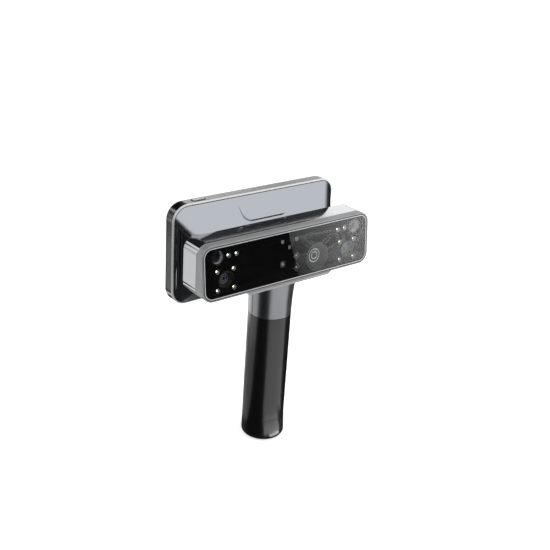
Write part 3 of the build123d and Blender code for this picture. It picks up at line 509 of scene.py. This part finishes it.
white_phosphor = phosphor("white_phosphor", heart=(0.95, 0.95, 0.95), edge=(0.12, 0.12, 0.12))
add_domes("pair_lamp_domes", white_phosphor, pair_places)
yellow_phosphor = phosphor("yellow_phosphor", heart=(0.92, 0.94, 0.74), edge=(0.17, 0.19, 0.02))
add_domes("square_lamp_domes", yellow_phosphor, square_places)

# Dot emitters, range sensor and line lasers on the middle board.
# They are small square modules with grey diffusing windows, soldered in place.
# An emitter's window carries a grid of tiny lenses; the sensor and the lasers have one eye in a frame.
window_grey = finish(
    "window_grey", dark=(0.38, 0.383, 0.387), light=(0.48, 0.483, 0.487), rough=(0.2, 0.3), grain=900,
)
dress(window_grey, "dot_emitters")
dress(barrel_black, "range_sensor", "laser_modules")
emitter_across = 0.00815
upper_emitters_up = 0.0142
lower_emitter_up = 0.0077
emitter_places = both_sides(emitter_across, upper_emitters_up, lamp_front)
emitter_places.append((0, lower_emitter_up, -lamp_front))
tiny_sides = 10
tiny_rings = 6
tiny_height = 0.6
grid_sizes = {"Window": 0.003, "Lenses": 4, "Lens radius": 0.00042}
tree, given, keys = begin_tree("lens_grid", grid_sizes)
rows = step(tree, "GeometryNodeMeshGrid", {
    "Size X": given["Window"], "Size Y": given["Window"],
    "Vertices X": given["Lenses"], "Vertices Y": given["Lenses"],
})
tiny_lens = low_ball(tree, tiny_sides, tiny_rings, given["Lens radius"], tiny_height)
lenses = step(tree, "GeometryNodeInstanceOnPoints", {"Points": rows["Mesh"], "Instance": tiny_lens})
end_tree(tree, given["Places"], lenses["Instances"], window_grey)
settle("emitter_lenses", tree, keys, grid_sizes, emitter_places, front_frame)


def add_window(name, sizes, places, corners):
    """A domed window inside a raised frame with this many corners."""
    dome_sides = 24
    dome_rings = 12
    dome_height = 0.25
    bar_sides = 8
    tree, given, keys = begin_tree(name, sizes)
    dome = low_ball(tree, dome_sides, dome_rings, given["Window radius"], dome_height)
    edge = step(tree, "GeometryNodeCurveToMesh", {
        "Curve": circle(tree, corners, given["Frame radius"]),
        "Profile Curve": circle(tree, bar_sides, given["Bar"]),
    })
    end_tree(tree, given["Places"], join(tree, dome, edge["Mesh"]), window_grey)
    settle(name, tree, keys, sizes, places, front_frame)


sensor_place = (-0.0078, -0.0074, -lamp_front)
add_window("sensor_window", {
    "Window radius": 0.0013, "Frame radius": 0.0024, "Bar": 0.0002,
}, [sensor_place], corners=32)
laser_across = 0.0084
laser_ups = (-0.002, -0.0136)
add_window("laser_windows", {
    "Window radius": 0.0012, "Frame radius": 0.0038, "Bar": 0.00015,
}, [(laser_across, up, -lamp_front) for up in laser_ups], corners=4)

# Front glass over the whole bar, the black print on its back and the gasket behind it.
# The glass is polished and faintly grey; the print is baked on and leaves windows for the optics.
# Both lie in the bezel's ledge on a thin rubber frame, and a black rubber bead fills the groove round the
# bezel as painted shade.
black_print = finish(
    "black_print", dark=(0.0025, 0.0025, 0.0027), light=(0.004, 0.004, 0.0042), rough=(0.3, 0.4),
    grain=900, fixed={"Specular IOR Level": 0.0},
)
dress(black_print, "glass_mask")
dress(soft_seal, "glass_gasket")


def add_bead(name, sizes, place):
    """A thin black rubber bead round a rounded rectangle, a painted line of shade along a groove or an
    edge.
    """
    corner_points = 12
    bead_sides = 10
    tree, given, keys = begin_tree(name, sizes)
    square = step(tree, "GeometryNodeCurvePrimitiveQuadrilateral", {
        "Width": given["Width"], "Height": given["Height"],
    })
    rounded = step(tree, "GeometryNodeFilletCurve", {
        "Curve": square["Curve"], "Count": corner_points, "Radius": given["Corner"], "Limit Radius": True,
    }, mode="POLY")
    reach = step(tree, "ShaderNodeCombineXYZ", {
        "X": given["Half width"], "Y": given["Half height"], "Z": 1.0,
    })
    section = step(tree, "GeometryNodeTransform", {
        "Geometry": circle(tree, bead_sides, 1.0), "Scale": reach["Vector"],
    })
    bead = sweep(tree, rounded["Curve"], section["Geometry"])
    end_tree(tree, given["Places"], bead, soft_seal)
    settle(name, tree, keys, sizes, [(0, 0, 0)], place)


def let_through(tree, shader, when, tint):
    """The surface lets rays through, with this tint, where the switch is on."""
    clear = step(tree, "ShaderNodeBsdfTransparent", {"Color": tint})
    either = step(tree, "ShaderNodeMixShader", {"Fac": when, 1: shader.outputs["BSDF"], 2: clear["BSDF"]})
    tree.links.new(either["Shader"], tree.nodes["Material Output"].inputs["Surface"])


bezel_groove_depth = 0.00022
bezel_groove = front_frame @ Matrix.Translation((0, 0, -bezel_groove_depth))
add_bead("bezel_shadow_bead", {
    "Width": 0.1905, "Height": 0.0478, "Corner": 0.00875, "Half width": 0.00058, "Half height": 0.00036,
}, bezel_groove)
glass_tint = (0.86, 0.87, 0.88, 1)
front_glass, tree, shader = base_coat("front_glass", {
    "Base Color": glass_tint, "Transmission Weight": 1.0, "Roughness": 0.0, "IOR": 1.52,
})
path = step(tree, "ShaderNodeLightPath", {})
let_through(tree, shader, path["Is Shadow Ray"], glass_tint)
dress(front_glass, "front_glass")

# Cowl between the bar and the slab, with the air vents in its drawn-in sides.
# The cowl is a cast shell in cool silver paint with a raised bare tab on its top slope.
# The vents are ribbed black mouldings, clipped into the side walls from inside.
cowl_paint = flake_paint(
    "cowl_paint", dark=(0.44, 0.465, 0.505), light=(0.52, 0.545, 0.585), rough=(0.14, 0.18), relief=0.01,
)
dress(cowl_paint, "front_cowl")
vent_black = finish(
    "vent_black", dark=(0.005, 0.005, 0.006), light=(0.011, 0.011, 0.012), rough=(0.45, 0.6),
    grain=2600, relief=0.3,
)
dress(vent_black, "left_vent", "right_vent")

# Slab at the back: the tray for the screen and the electronics, and the bright rim on its front edge.
# The tray is cast and painted in a middle grey metallic; the rim is cut bright and anodised.
# Long screws go from the tray through the rim into the cowl, and a black rubber bead fills the groove there
# as painted shade.
slab_paint = flake_paint(
    "slab_paint", dark=(0.19, 0.193, 0.20), light=(0.26, 0.263, 0.27), rough=(0.14, 0.19), relief=0.02,
)
dress(slab_paint, "rear_housing")
dress(bright_trim, "rim_trim")
rim_middle = (0, 0.028, 0.200)
rim_groove = Matrix.Translation(rim_middle) @ Matrix.Rotation(radians(90), 4, "X")
add_bead("rim_shadow_bead", {
    "Width": 0.1842, "Height": 0.0948, "Corner": 0.0139, "Half width": 0.00038, "Half height": 0.00038,
}, rim_groove)

# Touch screen in the slab's back: black glass, the panel behind it and a gasket round it.
# The glass is one polished sheet with a black border; the panel's own field is a shade lighter when off.
# It is bonded to the gasket in a shallow seat in the tray.
screen_glass = finish(
    "screen_glass", dark=(0.004, 0.004, 0.005), light=(0.006, 0.006, 0.008), rough=(0.03, 0.06),
    grain=60, fixed={"Coat Weight": 1.0},
)
field_across = 0.0
field_up = 0.200
field_half_width = 0.075
field_half_height = 0.0345
field_colour = (0.014, 0.016, 0.020, 1)
tree = screen_glass.node_tree
base_colour = tree.nodes["Principled BSDF"].inputs["Base Color"]
place = step(tree, "ShaderNodeTexCoord", {})
split = step(tree, "ShaderNodeSeparateXYZ", {"Vector": place["Object"]})
inside_width = step(tree, "ShaderNodeMath", {
    0: split["X"], 1: field_across, 2: field_half_width,
}, operation="COMPARE")
inside_height = step(tree, "ShaderNodeMath", {
    0: split["Z"], 1: field_up, 2: field_half_height,
}, operation="COMPARE")
inside = step(tree, "ShaderNodeMath", {
    0: inside_width["Value"], 1: inside_height["Value"],
}, operation="MULTIPLY")
field = step(tree, "ShaderNodeMix", {
    "Factor": inside["Value"], "A": base_colour.links[0].from_socket, "B": field_colour,
}, data_type="RGBA")
tree.links.new(field["Result"], base_colour)
dress(screen_glass, "display_glass")
panel_black = finish(
    "panel_black", dark=(0.012, 0.012, 0.013), light=(0.022, 0.022, 0.023), rough=(0.4, 0.55),
    grain=1200, relief=0.1,
)
dress(panel_black, "display_panel")
dress(soft_seal, "display_gasket")

# Mainboard, heat sink and fan inside the cowl.
# The sink is an extruded aluminium comb on the board, and the fan blows through it to the side vents.
# The fan's frame and its seven-bladed rotor are glass-filled black mouldings.
dress(circuit_board, "mainboard")
dress(bare_aluminium, "heat_sink")
fan_black = finish(
    "fan_black", dark=(0.014, 0.014, 0.014), light=(0.03, 0.03, 0.031), rough=(0.4, 0.55),
    grain=1400, relief=0.25,
)
dress(fan_black, "fan_housing", "fan_rotor")

# Power button and charging socket in the slab's edges.
# The button is a pill of brushed metal in a black rubber lip, which is painted shade along its raised edge,
# over a small switch; the socket is drawn steel.
# Both sit behind openings of the tray and are soldered or clipped inside it.
button_metal = finish(
    "button_metal", dark=(0.66, 0.67, 0.68), light=(0.76, 0.77, 0.78), rough=(0.25, 0.35),
    grain=1500, relief=0.1, stretch=(0.1, 1, 1), fixed={"Metallic": 1.0},
)
dress(button_metal, "power_button")
# The black lip round the pill is a painted line of shade along its raised edge.
shadow_lip_place = Matrix.Translation((-0.063, 0.0349, 0.249))
add_bead("power_button_shadow_lip", {
    "Width": 0.0140, "Height": 0.0054, "Corner": 0.0026, "Half width": 0.0004, "Half height": 0.0004,
}, shadow_lip_place)
dress(switch_black, "power_switch")
steel = finish(
    "steel", dark=(0.45, 0.45, 0.46), light=(0.6, 0.6, 0.61), rough=(0.25, 0.4),
    grain=1200, relief=0.1, fixed={"Metallic": 1.0},
)
dress(steel, "usb_socket")

# Screws that hold the tray, the bar, the bench, the neck and the mainboard.
# They are socket-headed machine screws in plain steel, all driven from inside or from under the screen.
dress(steel, "housing_screws", "bar_screws", "bench_screws", "neck_screws", "board_screws")

# Stage floor under the grip's end: a white sheet that keeps the shadow of the object.
# It glows a little for eye, mirror and glass, so that it stays white.
# It shows from above only, so that the object can be looked at from below.


def sheet(name, corners, material):
    """One flat piece of the stage through its corners."""
    mesh = bpy.data.meshes.new(name)
    mesh.from_pydata(corners, [], [range(len(corners))])
    mesh.materials.append(material)
    laid = bpy.data.objects.new(name, mesh)
    bpy.context.scene.collection.objects.link(laid)
    return laid


def seen_rays(tree, eye, mirror):
    """A strength for rays from the eye, another for mirror and glass rays, and none for the rest."""
    path = step(tree, "ShaderNodeLightPath", {})
    polished = step(tree, "ShaderNodeMath", {
        0: path["Is Glossy Ray"], 1: path["Is Transmission Ray"],
    }, operation="MAXIMUM")
    mirrored = step(tree, "ShaderNodeMath", {0: polished["Value"], 1: mirror}, operation="MULTIPLY")
    seen = step(tree, "ShaderNodeMath", {
        0: path["Is Camera Ray"], 1: eye, 2: mirrored["Value"],
    }, operation="MULTIPLY_ADD")
    return seen["Value"]


white = (1, 1, 1, 1)
floor_white, tree, shader = base_coat("floor_white", {
    "Base Color": (0.9, 0.9, 0.9, 1), "Roughness": 0.9, "Specular IOR Level": 0.0, "Emission Color": white,
})
floor_glow = seen_rays(tree, eye=0.6, mirror=0.2)
tree.links.new(floor_glow, shader.inputs["Emission Strength"])
facing = step(tree, "ShaderNodeNewGeometry", {})
let_through(tree, shader, facing["Backfacing"], white)
floor_reach = 12.0
floor_height = -0.0005
sheet("floor", [
    (-floor_reach, -floor_reach, floor_height),
    (floor_reach, -floor_reach, floor_height),
    (floor_reach, floor_reach, floor_height),
    (-floor_reach, floor_reach, floor_height),
], floor_white)

# Surroundings: a plain white room without walls, so that the picture's background is white.
# It is white for the eye and for metal and glass, and an even grey light for everything else.
matt_level = 0.5
seen_level = 1.0
world = bpy.data.worlds.new("studio")
bpy.context.scene.world = world
world.use_nodes = True
tree = world.node_tree
background = tree.nodes["Background"]
background.inputs["Color"].default_value = white
level = step(tree, "ShaderNodeMapRange", {
    "Value": seen_rays(tree, eye=1.0, mirror=1.0), "To Min": matt_level, "To Max": seen_level,
})
tree.links.new(level["Result"], background.inputs["Strength"])

# Cards round the stage that only show in polished surfaces, as a product photographer sets them.
# They are plain paper, dark or bright: over and behind the object, at both sides and on the floor.
# The floor's cards lie a hair above it, and the dark one under the bar, a painted shadow, lies lowest, so
# that the others cover it.
ceiling_height = 1.0
card_height = -0.0002
under_shadow_height = -0.00035
dark_tone = 0.02
edge_tone = 0.45


def card(name, tone, corners):
    """A card of one brightness that only mirror-like surfaces see."""
    paper, _, _ = base_coat(name, {
        "Base Color": (0, 0, 0, 1), "Specular IOR Level": 0.0,
        "Emission Color": white, "Emission Strength": tone,
    })
    made = sheet(name, corners, paper)
    made.visible_camera = False
    made.visible_diffuse = False
    made.visible_shadow = False
    return made


def level_card(name, tone, height, *corners):
    """A card that lies level, with its corners given by how far across and along they are."""
    return card(name, tone, [(across, along, height) for across, along in corners])


def toward(bearing, reach):
    """How far across and along a point is, at a bearing in degrees from the front towards the right."""
    return sin(radians(bearing)) * reach, -cos(radians(bearing)) * reach


def round_card(name, tone, *corners):
    """A card on the floor, with its corners given by bearing and reach."""
    level_card(name, tone, card_height, *(toward(bearing, reach) for bearing, reach in corners))


def wall_card(name, tone, reach, bearings, foot, tops):
    """An upright card between two bearings, from its foot to the height of its top at each end."""
    first = toward(bearings[0], reach)
    last = toward(bearings[1], reach)
    card(name, tone, [(*first, foot), (*last, foot), (*last, tops[1]), (*first, tops[0])])


def toe_card(name, tone, outer, inner, bearings):
    """A card on the floor that curves round the grip's toe between two reaches."""
    outside = [(bearing, outer) for bearing in bearings]
    inside = [(bearing, inner) for bearing in reversed(bearings)]
    round_card(name, tone, *outside, *inside)


level_card(
    "back_ceiling", dark_tone, ceiling_height,
    (-0.65, 0.36), (1.6, 0.36), (1.6, 1.3), (1.46, 1.3), (1.42, 1.70), (-0.65, 1.70),
)
level_card("back_bright", 2.1, ceiling_height, (0.8, 1.72), (1.42, 1.72), (1.42, 2.6), (0.8, 2.6))
level_card(
    "right_bright", 1.4, ceiling_height, (1.44, 1.72), (1.48, 1.32), (2.6, 1.32), (2.6, 2.6), (1.44, 2.6),
)
card("back_card", 0.01, [(-1.05, 1.26, 0), (0.2, 1.26, 0), (0.2, 1.26, 0.8), (-1.05, 1.26, 0.8)])
level_card("back_floor", 0.25, card_height, (-0.275, 0.30), (0.15, 0.33), (0.15, 0.5), (-0.41, 0.5))
level_card("far_floor", 0.03, card_height, (-0.41, 0.5), (0.15, 0.5), (0.15, 1.25), (-0.9, 1.237))
round_card("neck_bright", 2.6, (-185, 0.268), (-168, 0.266), (-150, 0.262), (-150, 0.31), (-185, 0.31))
round_card("neck_grey", 1.1, (-150, 0.262), (-135, 0.257), (-120, 0.25), (-120, 0.30), (-150, 0.31))
round_card(
    "corner_dark", dark_tone, (-180, 0.241), (-150, 0.236), (-144, 0.235),
    (-144, 0.258), (-150, 0.261), (-168, 0.265), (-180, 0.262),
)
level_card(
    "edge_dark", dark_tone, card_height,
    (-0.29, 0.299), (-0.13, 0.3095), (-0.155, 0.274), (-0.19, 0.26), (-0.262, 0.26),
)
round_card(
    "grip_left", edge_tone, (-180, 0.05), (-115, 0.05), (-104, 0.22),
    (-122, 0.225), (-150, 0.235), (-180, 0.24),
)
round_card(
    "left_floor", dark_tone, (-115, 0.035), (-104, 0.2), (-95, 0.9),
    (-42, 0.9), (-36, 0.2), (-40, 0.035),
)
wall_card("left_card", dark_tone, reach=0.55, bearings=(-75, -20), foot=0, tops=(0.26, 0.26))
wall_card("left_wall", dark_tone, reach=0.6, bearings=(-112, -76), foot=0, tops=(0.6, 0.6))
wall_card("left_edge", edge_tone, reach=0.55, bearings=(-75, -20), foot=0.26, tops=(0.31, 0.31))
round_card("right_floor", dark_tone, (62, 0.05), (56, 0.5), (130, 0.5), (130, 0.05))
wall_card("right_card", dark_tone, reach=0.6, bearings=(90, 125), foot=0, tops=(0.45, 0.55))
wall_card("right_edge", edge_tone, reach=0.6, bearings=(86, 90), foot=0, tops=(0.42, 0.45))
wall_card("front_card", 0.05, reach=1.3, bearings=(22, 55), foot=0.45, tops=(0.95, 0.95))
# The dark card under the bar stands in for the object's shadow on the floor, as polished surfaces see it.
level_card("under_shadow_card", 0.10, under_shadow_height, (-0.10, -0.052), (0.05, -0.052), (0.12, 0.2), (-0.10, 0.06))
toe_card("toe_line", 7.0, outer=0.034, inner=0.0295, bearings=(-10, 10, 30))
toe_card("toe_bright", 1.8, outer=0.06, inner=0.0345, bearings=(-30, -10, 15, 40))
# The dark ring round the toe stands in for the contact shadow on the floor beside the grip's foot.
toe_card("toe_shadow", 0.05, outer=0.029, inner=0.0185, bearings=(-40, -10, 20, 48))
level_card("front_dark", 0.04, card_height, (0.0, -0.38), (0.302, -0.38), (0.86, -1.15), (0.0, -1.15))
bright = level_card(
    "front_bright", 1.0, card_height, (0.302, -0.38), (1.1, -0.38), (1.7, -1.15), (0.86, -1.15),
)
# The bright card fades in from its left edge, which gives the glass its soft change from dark to haze.
off_the_edge = (0.886, 0.463, 0)
tree = bright.data.materials[0].node_tree
place = step(tree, "ShaderNodeTexCoord", {})
from_edge = step(tree, "ShaderNodeVectorMath", {
    0: place["Object"], 1: off_the_edge,
}, operation="DOT_PRODUCT")
rise = step(tree, "ShaderNodeMapRange", {
    "Value": from_edge["Value"], "From Min": 0.12, "From Max": 0.345, "To Min": 0.2, "To Max": 2.8,
})
tree.links.new(rise["Result"], tree.nodes["Principled BSDF"].inputs["Emission Strength"])

# Soft lamps: a wide one over the front right, a low one on the right and a faint one from the left.
# They light matt surfaces; polished ones see the cards and the white room instead.


def softbox(name, place, target, size, power):
    """A square soft lamp that faces a point and doesn't mirror."""
    lamp = bpy.data.lights.new(name, "AREA")
    lamp.size = size
    lamp.energy = power
    holder = bpy.data.objects.new(name, lamp)
    holder.location = place
    holder.rotation_euler = (Vector(target) - Vector(place)).to_track_quat("-Z", "Y").to_euler()
    holder.visible_glossy = False
    bpy.context.scene.collection.objects.link(holder)


softbox("top_lamp", (0.55, -0.25, 0.92), glass_middle, size=0.7, power=4)
softbox("right_lamp", (0.75, -0.55, 0.3), glass_middle, size=0.45, power=2.5)
softbox("left_lamp", (-0.9, 0.3, 0.6), glass_middle, size=0.6, power=2.5)

# Camera at the photograph's place: a little left of the front and above, turned by a few degrees.
# Its focal length is the photograph's, in pixels, made into millimetres for the sensor's width.
camera_place = Vector((-0.4896, -0.5995, 0.5205))
camera_right = Vector((0.788, -0.6125, 0.0623))
camera_forward = Vector((0.580, 0.7045, -0.409))
photo_focal = 891.5
photo_width = 550
sensor_width = 36.0
lens = bpy.data.cameras.new("camera")
lens.sensor_width = sensor_width
lens.lens = photo_focal * sensor_width / photo_width
camera = bpy.data.objects.new("camera", lens)
back = -camera_forward.normalized()
right = (camera_right - back * camera_right.dot(back)).normalized()
turn = Matrix((right, back.cross(right), back)).transposed()
camera.matrix_world = Matrix.Translation(camera_place) @ turn.to_4x4()
bpy.context.scene.collection.objects.link(camera)
bpy.context.scene.camera = camera
bpy.context.scene.view_settings.view_transform = "Standard"
